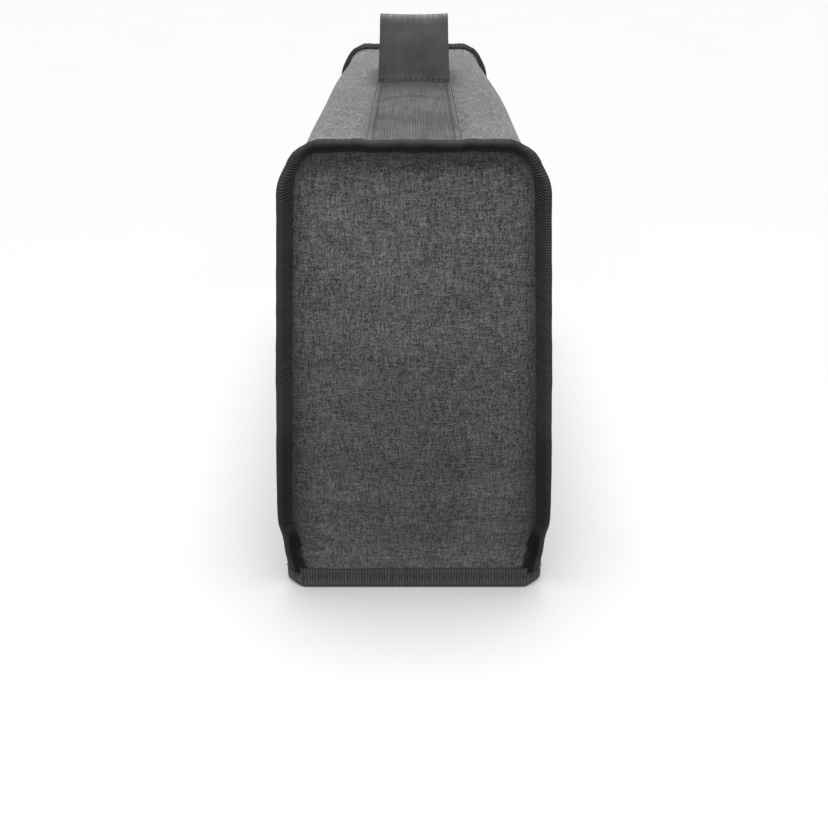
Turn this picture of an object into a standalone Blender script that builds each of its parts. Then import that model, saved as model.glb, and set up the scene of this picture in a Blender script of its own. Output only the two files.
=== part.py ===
"""Fitted cloth cover for a long, narrow toaster.

One cloth runs up one side, over the top and down the other side. Two end panels
close it. Each end seam stands outside as a fin, bound in ribbed tape, and the same
tape is folded round the open lower edge, on which the cover rests. A webbing strip is
sewn along the top and rises into a carrying loop.

Metres, +Z up. Origin at the middle of the footprint, on the surface it rests on.
X is the width, Y the length, and the front end panel faces -Y.
"""

import math

import bpy
from mathutils import Vector

# Overall sizes, measured at the middle of the cloth's thickness
LENGTH = 0.4102
TOP_HEIGHT = 0.2346
CORNER_WIDTH = 0.0155
CORNER_HEIGHT = 0.021
TOP_CROWN = 0.005
SHOULDER_CROWN = 0.0035
SHOULDER_BULGE = 0.0026
REAR_TAPER = 0.058
PUFF = 0.0040

# Materials by thickness, and the gap left between neighbouring layers
CLOTH = 0.0010
TAPE = 0.0006
WEBBING = 0.0015
GAP = 0.0003

# The hem tape and the length of the slanted corner it turns
HEM_HEIGHT = 0.0100
HEM_CORNER = 0.0087

# The webbing: band crowned like the top, and a narrower loop that straightens as it rises
BAND_WIDTH = 0.0440
LOOP_WIDTH = 0.0406
BAND_END = 0.0017
LOOP_FRONT = -0.0250
LOOP_REAR = 0.0570
LOOP_RISE = 0.0392
LOOP_DROP = 0.20
LOOP_LEAN = 0.0040
LOOP_ROUNDNESS = 0.22
LOOP_SQUARENESS = 0.30
LOOP_DISH = 0.0006
CROWN_FADES_AT = 0.0120

# Half width of the side cloth by height
SIDE = (
    # height, half width
    (0.0000, 0.0690),
    (0.0112, 0.0689),
    (0.0200, 0.0682),
    (0.0320, 0.0666),
    (0.0450, 0.0656),
    (0.0600, 0.0651),
    (0.1300, 0.0615),
    (0.2016, 0.0572),
    (0.2346, 0.0556),
)

# How far the end seam is drawn in from the side cloth, by height
DRAWN_IN = (
    # height, inset
    (0.0000, 0.0083),
    (0.0112, 0.0083),
    (0.0150, 0.0068),
    (0.0200, 0.0048),
    (0.0260, 0.0028),
    (0.0320, 0.0013),
    (0.0390, 0.0004),
    (0.0460, 0.0000),
)

# The bound seam fin: its lean forward from straight out, and its width, by height
FIN = (
    # height, lean in degrees, width
    (0.0112, 34.0, 0.0060),
    (0.0150, 34.0, 0.0060),
    (0.0200, 35.0, 0.0060),
    (0.0260, 37.0, 0.0061),
    (0.0320, 40.0, 0.0065),
    (0.0390, 43.0, 0.0074),
    (0.0460, 45.0, 0.0079),
    (0.0540, 45.0, 0.0080),
)

# Stations up the side, across half of the top, and back from an end seam
SIDE_STATIONS = (0.0009, 0.0056, 0.0102, 0.0112, 0.0150, 0.0200, 0.0260, 0.0320,
                 0.0390, 0.0460, 0.0540, 0.0750, 0.1000, 0.1300, 0.1600, 0.1880)
TOP_STATIONS = (0.0330, 0.0224, 0.0112, 0.0000)
END_STATIONS = (0.0017, 0.0040, 0.0087, 0.0250, 0.0550, 0.0950, 0.1350, 0.1650)
ARC_STEPS = 6

COVER = "toaster_cover"


def read_table(table, height, column=1):
    """Value of a column at a height, straight between the rows."""
    if height <= table[0][0]:
        return table[0][column]
    for low, high in zip(table, table[1:]):
        if height <= high[0]:
            part = (height - low[0]) / (high[0] - low[0])
            return low[column] + part * (high[column] - low[column])
    return table[-1][column]


def bow(y):
    """1 in the middle of the length, 0 at both end seams."""
    return max(0.0, 1.0 - (2.0 * y / LENGTH) ** 2)


def half_width(height, y, side):
    """Half width of the side cloth, with its taper, sag, full shoulders and slow waves."""
    along = y / LENGTH + 0.5
    width = read_table(SIDE, height) * (1.0 - REAR_TAPER * along)
    level = max(height, HEM_HEIGHT + GAP) / TOP_HEIGHT
    sag = 0.0024 * math.sin(math.pi * min(level, 1.0)) ** 1.5
    bulge = SHOULDER_BULGE * max(0.0, 2.0 * level - 1.0)
    wave = math.sin(11.0 * along + 1.3 * side + 2.0 * level)
    return width + (bulge - sag + 0.0011 * wave * (1.0 - 0.6 * level)) * bow(y)


def end_inset(height, y):
    """How far the cloth near an end seam slants inward."""
    back = LENGTH / 2 - abs(y)
    return read_table(DRAWN_IN, height) * max(0.0, 1.0 - back / HEM_CORNER)


def crown_rise(x, y, edge):
    """Rise of the top between its two edges: the shoulders' share, and more in the middle."""
    bend = math.cos(math.pi / 2 * x / edge) ** 2
    return bow(y) * (SHOULDER_CROWN + (TOP_CROWN - SHOULDER_CROWN) * bend)


def wrap_path(y):
    """Middle line of the wrap at one y: left side up, corner, top, corner, right side."""
    shoulder = TOP_HEIGHT - CORNER_HEIGHT
    halves = []
    for side in (-1, 1):
        run = []
        for z in SIDE_STATIONS:
            x = half_width(z, y, side) - end_inset(z, y)
            run.append((side * x, z, side, 0.0))
        edge = half_width(shoulder, y, side) - CORNER_WIDTH
        for k in range(ARC_STEPS + 1):
            turn = math.pi / 2 * k / ARC_STEPS
            nx = math.cos(turn) / CORNER_WIDTH
            nz = math.sin(turn) / CORNER_HEIGHT
            size = math.hypot(nx, nz)
            x = edge + CORNER_WIDTH * math.cos(turn)
            z = shoulder + (CORNER_HEIGHT + SHOULDER_CROWN * bow(y)) * math.sin(turn)
            run.append((side * x, z, side * nx / size, nz / size))
        for x in TOP_STATIONS:
            run.append((side * x, TOP_HEIGHT + crown_rise(x, y, edge), 0.0, 1.0))
        halves.append(run)
    return halves[0] + halves[1][-2::-1]


def crossing(point_a, way_a, point_b, way_b):
    """Where two straight lines in a plane cross."""
    det = way_b[0] * way_a[1] - way_a[0] * way_b[1]
    dx = point_b[0] - point_a[0]
    dy = point_b[1] - point_a[1]
    step = (way_b[0] * dy - dx * way_b[1]) / det
    return point_a[0] + step * way_a[0], point_a[1] + step * way_a[1]


class SeamSection:
    """Layers of a bound end seam, in the plane of (outward, away from the cover)."""

    def __init__(self, height):
        lean = math.radians(read_table(FIN, height, 1))
        self.width = read_table(FIN, height, 2)
        self.along = (math.cos(lean), math.sin(lean))
        self.across = (math.sin(lean), -math.cos(lean))
        slant = math.atan2(read_table(DRAWN_IN, height), HEM_CORNER)
        self.wall = (math.sin(slant), -math.cos(slant))
        self.wall_normal = (math.cos(slant), math.sin(slant))
        half = (1.3 * GAP + CLOTH) / 2
        self.wrap_bend = crossing((0, 0), self.wall, self.at(0, half), self.along)
        self.panel_bend = crossing((0, 0), (-1, 0), self.at(0, -half), self.along)
        self.wrap_tip = self.at(self.width - 0.0018, half)
        self.panel_tip = self.at(self.width - 0.0018, -half)

    def at(self, out, over):
        """Point at a distance along the fin and a distance to its wrap side."""
        return (out * self.along[0] + over * self.across[0],
                out * self.along[1] + over * self.across[1])

    def tape(self):
        """Middle line of the folded tape, from the wrap side to the panel side."""
        leg = CLOTH + 1.8 * GAP + TAPE / 2
        clear = CLOTH / 2 + 1.6 * GAP
        rise = sum(self.across[k] * self.wall_normal[k] for k in (0, 1))
        climb = sum(self.along[k] * self.wall_normal[k] for k in (0, 1))
        faces = (leg - TAPE / 2, leg + TAPE / 2)
        start = max(0.0005, max((clear - face * rise) / climb for face in faces))
        fold = self.width - TAPE / 2
        return [self.at(start, leg), self.at(fold - 0.0010, leg),
                self.at(fold, leg - 0.0010), self.at(fold, 0.0010 - leg),
                self.at(fold - 0.0010, -leg), self.at(0.0006, -leg)]


def seam_point(station, y_end, section_point):
    """A point of a seam section, placed at one station of the end seam."""
    x, z, nx, nz = station
    out, away = section_point
    return Vector((x + out * nx, y_end + math.copysign(1.0, y_end) * away, z + out * nz))


def material(name, colour, roughness):
    mat = bpy.data.materials.new(name)
    mat.use_nodes = True
    shader = mat.node_tree.nodes["Principled BSDF"]
    shader.inputs["Base Color"].default_value = (*colour, 1.0)
    shader.inputs["Roughness"].default_value = roughness
    shader.inputs["Metallic"].default_value = 0.0
    mat.diffuse_color = (*colour, 1.0)
    return mat


def sheet(name, points, quads, thickness, mat, collection):
    """An open surface given its thickness by Solidify, half to each side."""
    mesh = bpy.data.meshes.new(name)
    mesh.from_pydata([tuple(p) for p in points], [], quads)
    mesh.update()
    mesh.shade_smooth()
    mesh.set_sharp_from_angle(angle=math.radians(32))
    mesh.materials.append(mat)
    thing = bpy.data.objects.new(name, mesh)
    collection.objects.link(thing)
    solid = thing.modifiers.new("thickness", 'SOLIDIFY')
    solid.thickness = thickness
    solid.offset = 0.0
    solid.use_even_offset = True
    solid.use_rim = True
    return thing


def grid_quads(rows, columns, keep=None):
    """Quads of a grid of points stored row by row; keep(row, column) picks cells."""
    quads = []
    for i in range(rows - 1):
        for j in range(columns - 1):
            if keep is None or keep(i, j):
                here = i * columns + j
                above = here + columns
                quads.append((here, here + 1, above + 1, above))
    return quads


def used_only(points, quads):
    """Drop the points that no quad uses."""
    order = sorted({k for quad in quads for k in quad})
    place = {old: new for new, old in enumerate(order)}
    return [points[k] for k in order], [tuple(place[k] for k in quad) for quad in quads]


def along_stations():
    """Y of every station of the wrap, front seam to rear seam, ends left out."""
    near = [-LENGTH / 2 + back for back in END_STATIONS]
    middle = [LOOP_FRONT, 0.0, 0.0200]
    far = [-y for y in reversed(near)]
    return near + [y for y in middle if abs(y) < far[0]] + far


def build_wrap(mat, collection):
    """The one cloth of both sides and the top, with its two seam allowances."""
    ys = along_stations()
    front = wrap_path(-LENGTH / 2)
    rear = wrap_path(LENGTH / 2)
    middle = [wrap_path(y) for y in ys]
    points = []
    for i, (first, last) in enumerate(zip(front, rear)):
        near = SeamSection(first[1])
        far = SeamSection(last[1])
        points.append(seam_point(first, -LENGTH / 2, near.wrap_tip))
        points.append(seam_point(first, -LENGTH / 2, near.wrap_bend))
        for y, path in zip(ys, middle):
            points.append(Vector((path[i][0], y, path[i][1])))
        points.append(seam_point(last, LENGTH / 2, far.wrap_bend))
        points.append(seam_point(last, LENGTH / 2, far.wrap_tip))
    rows = len(front)
    columns = len(ys) + 4
    low = SIDE_STATIONS.index(0.0112)

    def keep(i, j):
        return 0 < j < columns - 2 or low <= i < rows - 1 - low

    points, quads = used_only(points, grid_quads(rows, columns, keep))
    return sheet("wrap", points, quads, CLOTH, mat, collection)


def puff(across, up):
    """Soft outward swell of an end panel, fullest above its middle; 0 at its seam and hem."""
    edge = math.sin(math.pi * across) ** 0.7
    level = min(1.0, max(0.0, (up - 0.045) / 0.955))
    return PUFF * edge * math.sin(math.pi * level ** 1.5) ** 0.9


def build_panel(name, y_end, mat, collection):
    """One end panel: a patch inside the seam line, and its allowance in the fin."""
    path = wrap_path(y_end)
    low = SIDE_STATIONS.index(0.0112)
    rise = len(SIDE_STATIONS) + ARC_STEPS // 2
    last = len(path) - 1
    away = math.copysign(1.0, y_end)
    inner = []
    tips = []
    for k, station in enumerate(path):
        section = SeamSection(station[1])
        bend = section.panel_bend
        if k < low or k > last - low:
            bend = (-0.0014, 0.0)
        inner.append(seam_point(station, y_end, bend))
        tips.append(seam_point(station, y_end, section.panel_tip))
    left = inner[:rise + 1]
    top = inner[rise:last - rise + 1]
    right = inner[last - rise:][::-1]
    width = len(top) - 1
    points = []
    index = {}
    for j in range(rise + 1):
        up = j / rise
        for i in range(width + 1):
            across = i / width
            floor = left[0].lerp(right[0], across)
            corners = (left[0].lerp(right[0], across) * (1 - up)
                       + left[-1].lerp(right[-1], across) * up)
            spot = left[j].lerp(right[j], across)
            spot = spot + floor * (1 - up) + top[i] * up - corners
            level = (spot.z - HEM_HEIGHT) / (TOP_HEIGHT - HEM_HEIGHT)
            spot.y = y_end + away * puff(across, level)
            index[i, j] = len(points)
            points.append(spot)
    quads = []
    for j in range(rise):
        for i in range(width):
            quads.append((index[i, j], index[i + 1, j], index[i + 1, j + 1], index[i, j + 1]))
    rim = [index[0, j] for j in range(rise)]
    rim += [index[i, rise] for i in range(width + 1)]
    rim += [index[width, j] for j in reversed(range(rise))]
    first = len(points)
    points += tips
    for k in range(low, last - low):
        quads.append((rim[k], rim[k + 1], first + k + 1, first + k))
    points, quads = used_only(points, quads)
    return sheet(name, points, quads, CLOTH, mat, collection)


def build_binding(name, y_end, mat, collection):
    """Tape folded over the seam fin, from hem to hem."""
    path = wrap_path(y_end)
    low = SIDE_STATIONS.index(0.0112)
    points = []
    rows = path[low:len(path) - low]
    for station in rows:
        for spot in SeamSection(station[1]).tape():
            points.append(seam_point(station, y_end, spot))
    quads = grid_quads(len(rows), 6)
    return sheet(name, points, quads, TAPE, mat, collection)


def hem_loop():
    """Plan of the cloth at the hem, once round, starting at the front left seam."""
    ys = [-LENGTH / 2] + along_stations() + [LENGTH / 2]
    ys = [y for y in ys if abs(abs(y) - LENGTH / 2 + END_STATIONS[0]) > 1e-6]
    paths = [wrap_path(y) for y in ys]
    left = [(path[0][0], y) for path, y in zip(paths, ys)]
    right = [(path[-1][0], y) for path, y in zip(paths, ys)]
    steps = [k / 6 for k in range(1, 6)]
    rear = [(left[-1][0] + (right[-1][0] - left[-1][0]) * k, LENGTH / 2) for k in steps]
    front = [(right[0][0] + (left[0][0] - right[0][0]) * k, -LENGTH / 2) for k in steps]
    return left + rear + right[::-1] + front


def build_hem(mat, collection):
    """Tape folded round the lower edge of the wrap and of both panels."""
    loop = hem_loop()
    near = CLOTH / 2 + GAP
    far = near + TAPE
    profile = ((far, 0.0), (far, HEM_HEIGHT), (near, HEM_HEIGHT), (near, TAPE),
               (-near, TAPE), (-near, HEM_HEIGHT), (-far, HEM_HEIGHT), (-far, 0.0))
    count = len(loop)
    sides = len(profile)
    points = []
    for k, (x, y) in enumerate(loop):
        here = Vector((x, y))
        first = (here - Vector(loop[k - 1])).normalized()
        second = (Vector(loop[(k + 1) % count]) - here).normalized()
        one = Vector((-first.y, first.x))
        two = Vector((-second.y, second.x))
        miter = (one + two) / (1.0 + one.dot(two))
        for out, z in profile:
            points.append((x + miter.x * out, y + miter.y * out, z))
    quads = []
    for k in range(count):
        after = (k + 1) % count
        for j in range(sides):
            turn = (j + 1) % sides
            quads.append((k * sides + j, k * sides + turn,
                          after * sides + turn, after * sides + j))
    mesh = bpy.data.meshes.new("hem_binding")
    mesh.from_pydata(points, [], quads)
    mesh.update()
    mesh.materials.append(mat)
    thing = bpy.data.objects.new("hem_binding", mesh)
    collection.objects.link(thing)
    return thing


def loop_profile():
    """Middle line of the carrying loop: y, height above the band, width share."""
    middle = (LOOP_FRONT + LOOP_REAR) / 2
    half = (LOOP_REAR - LOOP_FRONT) / 2
    rows = [(LOOP_FRONT - 0.0006, 0.0004, 0.10)]
    steps = 20
    for k in range(1, steps):
        turn = math.pi * k / steps
        rise = math.sin(turn) ** LOOP_ROUNDNESS
        ahead = math.copysign(abs(math.cos(turn)) ** LOOP_SQUARENESS, math.cos(turn))
        y = middle - half * ahead + LOOP_LEAN * rise
        drop = LOOP_DROP * (y - LOOP_FRONT) / (2.0 * half)
        rows.append((y, LOOP_RISE * rise * (1.0 - drop), min(1.0, 0.30 + 0.95 * rise)))
    rows.append((LOOP_REAR + 0.0006, 0.0004, 0.10))
    return rows


def build_webbing(mat, collection):
    """One webbing strip: band, carrying loop, band."""
    lift = CLOTH / 2 + 1.4 * GAP + WEBBING / 2
    shares = (-1.0, -0.5, 0.0, 0.5, 1.0)
    rows = []
    front = [y for y in along_stations() if -LENGTH / 2 + BAND_END - 1e-6 < y < LOOP_FRONT]
    rear = [y for y in along_stations() if LOOP_REAR < y < LENGTH / 2 - BAND_END + 1e-6]
    for y in front + [LOOP_FRONT - 0.0040]:
        rows.append((y, 0.0, 0.0))
    rows += loop_profile()
    for y in [LOOP_REAR + 0.0040] + rear:
        rows.append((y, 0.0, 0.0))
    points = []
    for y, rise, loop in rows:
        half = (BAND_WIDTH + (LOOP_WIDTH - BAND_WIDTH) * loop) / 2
        edge = half_width(TOP_HEIGHT - CORNER_HEIGHT, y, 1) - CORNER_WIDTH
        level = min(1.0, rise / CROWN_FADES_AT)
        for share in shares:
            x = share * half
            crown = (1.0 - level) * crown_rise(x, y, edge) + level * TOP_CROWN * bow(y)
            crown += LOOP_DISH * level * share ** 2
            points.append(Vector((x, y, TOP_HEIGHT + lift + rise + crown)))
    quads = grid_quads(len(rows), len(shares))
    return sheet("handle_webbing", points, quads, WEBBING, mat, collection)


def main():
    for thing in list(bpy.data.objects):
        bpy.data.objects.remove(thing, do_unlink=True)
    collection = bpy.data.collections.new(COVER)
    bpy.context.scene.collection.children.link(collection)
    grey = (0.070, 0.070, 0.072)
    black = (0.016, 0.016, 0.017)
    build_wrap(material("wrap_cloth", grey, 0.9), collection)
    build_panel("front_panel", -LENGTH / 2, material("front_cloth", grey, 0.9), collection)
    build_panel("rear_panel", LENGTH / 2, material("rear_cloth", grey, 0.9), collection)
    build_binding("front_binding", -LENGTH / 2, material("front_tape", black, 0.75), collection)
    build_binding("rear_binding", LENGTH / 2, material("rear_tape", black, 0.75), collection)
    build_hem(material("hem_tape", (0.040, 0.041, 0.040), 0.75), collection)
    build_webbing(material("webbing", (0.060, 0.060, 0.062), 0.8), collection)


main()
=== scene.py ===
"""Looks of the fitted toaster cover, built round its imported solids.

Each solid is replaced by a finer sheet on the same folds: woven cloth with soft puckers
at its seams, ribbed tape round the end seams and the hem, ribbed webbing on top, and the
sewing thread that holds them. Metres, in the frame's own axes; the front faces -Y.
"""

import math

import bpy
import numpy as np
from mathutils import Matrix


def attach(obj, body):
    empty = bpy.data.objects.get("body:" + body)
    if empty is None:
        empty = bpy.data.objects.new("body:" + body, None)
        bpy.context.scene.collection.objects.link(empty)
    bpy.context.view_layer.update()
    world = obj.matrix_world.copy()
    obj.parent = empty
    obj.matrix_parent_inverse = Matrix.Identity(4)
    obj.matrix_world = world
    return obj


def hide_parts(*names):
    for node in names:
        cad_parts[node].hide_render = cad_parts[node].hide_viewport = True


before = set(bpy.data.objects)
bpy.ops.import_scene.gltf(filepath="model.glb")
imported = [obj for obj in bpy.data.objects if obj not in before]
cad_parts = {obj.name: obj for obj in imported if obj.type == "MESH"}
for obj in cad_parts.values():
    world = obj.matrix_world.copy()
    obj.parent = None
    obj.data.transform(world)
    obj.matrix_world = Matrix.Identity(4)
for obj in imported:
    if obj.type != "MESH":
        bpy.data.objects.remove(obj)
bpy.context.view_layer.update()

# Sizes of the cover, as in its solids
LENGTH = 0.4102
TOP_HEIGHT = 0.2346
CORNER_WIDTH = 0.0155
CORNER_HEIGHT = 0.021
TOP_CROWN = 0.005
SHOULDER_CROWN = 0.0035
SHOULDER_BULGE = 0.0026
REAR_TAPER = 0.058
CLOTH = 0.0010
TAPE = 0.0006
WEBBING = 0.0015
GAP = 0.0003
HEM_HEIGHT = 0.0100
HEM_CORNER = 0.0087
BAND_WIDTH = 0.0440
LOOP_WIDTH = 0.0406
BAND_END = 0.0017
LOOP_FRONT = -0.0250
LOOP_REAR = 0.0570
LOOP_RISE = 0.0384
LOOP_DROP = 0.20
LOOP_LEAN = 0.0040
LOOP_ROUNDNESS = 0.22
LOOP_SQUARENESS = 0.30
LOOP_DISH = 0.0006
CROWN_FADES_AT = 0.0120
ARCH_AT = -0.0825
ARCH_SAG = 0.0600
ARCH_RISE = 0.0010
PUFF = 0.0040

SIDE = (
    # height, half width
    (0.0000, 0.0690),
    (0.0112, 0.0689),
    (0.0200, 0.0682),
    (0.0320, 0.0666),
    (0.0450, 0.0656),
    (0.0600, 0.0651),
    (0.1300, 0.0615),
    (0.2016, 0.0572),
    (0.2346, 0.0556),
)

DRAWN_IN = (
    # height, inset of the end seam
    (0.0000, 0.0083),
    (0.0112, 0.0082),
    (0.0150, 0.0063),
    (0.0200, 0.0042),
    (0.0260, 0.0023),
    (0.0320, 0.0011),
    (0.0390, 0.0004),
    (0.0460, 0.0000),
)

# The bound seam fin. Low down it narrows and turns back against the side.
FIN = (
    # height, lean forward in degrees, width, share of its full thickness
    (0.0060, -26.0, 0.0082, 0.50),
    (0.0120, -20.0, 0.0080, 0.52),
    (0.0180, -12.0, 0.0067, 0.58),
    (0.0260, 6.0, 0.0053, 0.66),
    (0.0320, 24.0, 0.0055, 0.78),
    (0.0370, 36.0, 0.0066, 0.90),
    (0.0420, 43.0, 0.0076, 1.00),
    (0.0540, 45.0, 0.0080, 1.00),
)

# The deep crease where the low end of the fin turns: how far the seam sinks back there
CREASE = (
    # height, depth
    (0.0112, 0.0000),
    (0.0145, 0.0022),
    (0.0200, 0.0036),
    (0.0270, 0.0040),
    (0.0330, 0.0030),
    (0.0400, 0.0014),
    (0.0600, 0.0006),
)
CREASE_REACH = 0.0028

# Along the top and its corners the cloth climbs the fin this far before the tape covers it
CLIMB = 0.0022
EDGE_ROLL = 0.0012

# Heights from which the cloth, the tape and its stitches belong to the fin
CLOTH_FIN_FROM = 0.0112
TAPE_FIN_FROM = 0.0075
STITCHES_FROM = 0.036

# Half the distance between the two cloths in a fin, and from their middle to a leg of tape
CLOTH_OVER = (1.3 * GAP + CLOTH) / 2
TAPE_OVER = CLOTH + 1.8 * GAP + TAPE / 2
TAPE_START = 0.0006
TAPE_ROUND = 0.0013

# Weave and rib pitches, and how deep a rib stands
THREAD = 0.00054
TAPE_RIB = 0.00125
TAPE_RIB_DEPTH = 0.00012
HEM_RIB = 0.00157
WEBBING_RIB = 0.00135
WEBBING_RIB_DEPTH = 0.00011
WEBBING_STEP = 0.0016

# Heights on the hem tape: its top edge, its stitch row and the start of its folded foot
HEM_TOP = 0.0116
HEM_SEWN_AT = 0.0068
HEM_FOOT = 0.0010

# Along the top the tape is pulled smooth; its ribs show from the corners on, measured from
# the middle of the top
RIBS_START = (0.043, 0.052)

# The stitch row that holds a binding: its place across a leg of tape, and how deep it pulls
SEWN_AT = 0.30
SEWN_IN = 0.00025

# The stitch rows along the webbing, as a share of its half width
SEWN_SHARE = 0.955

# Cloth spacings of the fine meshes
SIDE_HEIGHTS = np.concatenate([np.arange(0.0009, 0.060, 0.0015), np.linspace(0.060, 0.2120, 50)])
ARC_STEPS = 20
TOP_STEPS = 14

# Colours, as linear red, green and blue
CLOTH_GREY = (0.064, 0.064, 0.065)
TAPE_BLACK = (0.019, 0.019, 0.0195)
HEM_CHARCOAL = (0.060, 0.0605, 0.0595)
WEBBING_GREY = (0.047, 0.047, 0.048)
DARK_THREAD = (0.018, 0.018, 0.0185)
GREY_THREAD = (0.120, 0.120, 0.123)
FLOOR_GREY = (0.30, 0.30, 0.30)

# How far along a binding from its middle, in metres of tape, its low ends begin to turn
FRONT_LOW = 0.180
REAR_LOW = 0.174

# Camera of the photograph: focal length in mm, place, and tilt below level in radians
CAMERA_LENS = 44.582
CAMERA_AT = (0.0, -0.6732, 0.3260)
CAMERA_DIP = 0.4428


def smooth_column(table, column, blur):
    """A table column as a smooth function of height."""
    step = 0.0005
    heights = np.arange(-0.04, 0.28, step)
    rows = np.array(table)
    values = np.interp(heights, rows[:, 0], rows[:, column])
    reach = max(1, round(blur / step))
    window = np.hanning(2 * reach + 1)
    padded = np.pad(values, reach, mode="edge")
    values = np.convolve(padded, window / window.sum(), mode="valid")
    return lambda height: np.interp(height, heights, values)


side_table = smooth_column(SIDE, 1, 0.010)
inset_table = smooth_column(DRAWN_IN, 1, 0.003)
lean_table = smooth_column(FIN, 1, 0.004)
width_table = smooth_column(FIN, 2, 0.004)
thickness_table = smooth_column(FIN, 3, 0.004)
crease_table = smooth_column(CREASE, 1, 0.003)


def bow(y):
    """1 in the middle of the length, 0 at both end seams."""
    return np.maximum(0.0, 1.0 - (2.0 * y / LENGTH) ** 2)


def half_width(height, y, side):
    """Half width of the side cloth, with its taper, sag, full shoulders and slow waves."""
    along = y / LENGTH + 0.5
    width = side_table(height) * (1.0 - REAR_TAPER * along)
    level = np.maximum(height, HEM_HEIGHT + GAP) / TOP_HEIGHT
    sag = 0.0024 * np.sin(math.pi * np.minimum(level, 1.0)) ** 1.5
    bulge = SHOULDER_BULGE * np.maximum(0.0, 2.0 * level - 1.0)
    wave = np.sin(11.0 * along + 1.3 * side + 2.0 * level)
    return width + (bulge - sag + 0.0011 * wave * (1.0 - 0.6 * level)) * bow(y)


def end_inset(height, y):
    """How far the cloth near an end seam slants inward."""
    back = LENGTH / 2 - np.abs(y)
    return inset_table(height) * np.maximum(0.0, 1.0 - back / HEM_CORNER)


def crown_rise(x, y):
    """Rise of the top between its two edges: the shoulders' share, and more in the middle."""
    edge = half_width(TOP_HEIGHT - CORNER_HEIGHT, y, 1) - CORNER_WIDTH
    bend = np.cos(math.pi / 2 * np.clip(x / edge, -1, 1)) ** 2
    return bow(y) * (SHOULDER_CROWN + (TOP_CROWN - SHOULDER_CROWN) * bend)


def section_paths(ys):
    """Middle lines of the wrap at several y: x, z and outward normal, left hem to right hem."""
    ys = np.atleast_1d(np.asarray(ys, float))
    shoulder = TOP_HEIGHT - CORNER_HEIGHT
    flat = 0.0 * ys
    halves = []
    for side in (-1, 1):
        z = SIDE_HEIGHTS[:, None] + flat
        x = half_width(z, ys, side) - end_inset(z, ys)
        rows = [np.stack([side * x, z, side + 0 * z, 0 * z], -1)]
        edge = half_width(shoulder, ys, side) - CORNER_WIDTH
        turn = np.linspace(0, math.pi / 2, ARC_STEPS + 1)[:, None]
        nx = np.cos(turn) / CORNER_WIDTH
        nz = np.sin(turn) / CORNER_HEIGHT
        size = np.hypot(nx, nz)
        x = edge + CORNER_WIDTH * np.cos(turn)
        z = shoulder + (CORNER_HEIGHT + SHOULDER_CROWN * bow(ys)) * np.sin(turn)
        rows.append(np.stack([side * x, z, side * nx / size + flat, nz / size + flat], -1))
        x = edge * np.linspace(1, 0, TOP_STEPS + 1)[1:, None]
        z = TOP_HEIGHT + crown_rise(x, ys)
        rows.append(np.stack([side * x, z, 0 * x, 1 + 0 * x], -1))
        halves.append(np.concatenate(rows))
    return np.concatenate([halves[0], halves[1][-2::-1]])


def running_length(points):
    """Length along a line of points, from its first one."""
    steps = np.linalg.norm(np.diff(points, axis=0), axis=1)
    return np.concatenate([[0.0], np.cumsum(steps)])


def resample(rows, spacing):
    """Rows whose first two columns are places, read again at an even spacing."""
    length = running_length(rows[:, :2])
    count = max(2, round(length[-1] / spacing))
    wanted = np.linspace(0, length[-1], count + 1)
    return np.stack([np.interp(wanted, length, column) for column in rows.T], 1)


def waves(along, *terms):
    """Sum of sine waves, each given as (size, length, phase)."""
    return sum(size * np.sin(2 * math.pi * along / length + phase) for size, length, phase in terms)


def soft_step(value, low, high):
    """0 below low, 1 above high, smooth between."""
    share = np.clip((value - low) / (high - low), 0, 1)
    return share * share * (3 - 2 * share)


class Seam:
    """A bound end seam: stations along it, and the section of the fin at each one."""

    def __init__(self, y_end, rows):
        self.y_end = y_end
        self.away = math.copysign(1.0, y_end)
        self.x, self.z, nx, nz = rows.T
        size = np.hypot(nx, nz)
        self.nx = nx / size
        self.nz = nz / size
        self.s = running_length(rows[:, :2])
        middle = self.s - self.s[-1] / 2
        self.middle = np.abs(middle)
        facing = np.degrees(np.arctan2(self.nz, np.abs(self.nx)))
        self.climb = CLIMB * soft_step(facing, 8, 45)
        self.corner = np.exp(-((facing - 44) / 20) ** 2) * (self.nz > 0)
        gathers = 0.0010 * np.exp(-((facing - 28) / 12) ** 2) + 0.0007 * np.exp(-((facing - 66) / 10) ** 2)
        self.crease = crease_table(self.z)
        steady = soft_step(self.z, 0.040, 0.060)
        steady = steady * (0.25 + 0.75 * np.clip(self.nz, 0, 1))
        lean = lean_table(self.z) + steady * waves(
            np.abs(middle), (2.5, 0.043, 0.4), (2.0, 0.019, 1.9), (1.0, 0.0097, 0.7))
        lean = np.radians(lean)
        self.width = width_table(self.z) + steady * waves(
            np.abs(middle), (0.00028, 0.052, 2.2), (0.00016, 0.0173, 0.3)) - gathers
        self.pinch = thickness_table(self.z)
        self.along = np.stack([np.cos(lean), np.sin(lean)], 1)
        self.across = np.stack([np.sin(lean), -np.cos(lean)], 1)
        slant = np.arctan2(inset_table(self.z), HEM_CORNER)
        self.wall = np.stack([np.sin(slant), -np.cos(slant)], 1)

    def at(self, out, over):
        """Section point at a distance along the fin and a distance to its wrap side."""
        out = np.broadcast_to(out, self.s.shape)[:, None]
        over = np.broadcast_to(over, self.s.shape)[:, None]
        return out * self.along + over * self.across

    def crossing(self, way, over):
        """Where a line from the seam along way meets the fin's line at that distance over."""
        start = self.at(0, over)
        det = self.along[:, 0] * way[:, 1] - way[:, 0] * self.along[:, 1]
        step = (self.along[:, 0] * start[:, 1] - start[:, 0] * self.along[:, 1]) / det
        return np.clip(step, -0.002, 0.002)[:, None] * way

    def place(self, section):
        """Section points (outward, away from the cover) as points in space."""
        out, away = section[..., 0], section[..., 1]
        return np.stack([self.x + out * self.nx,
                         self.y_end + self.away * (away - self.crease),
                         self.z + out * self.nz], -1)


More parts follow.
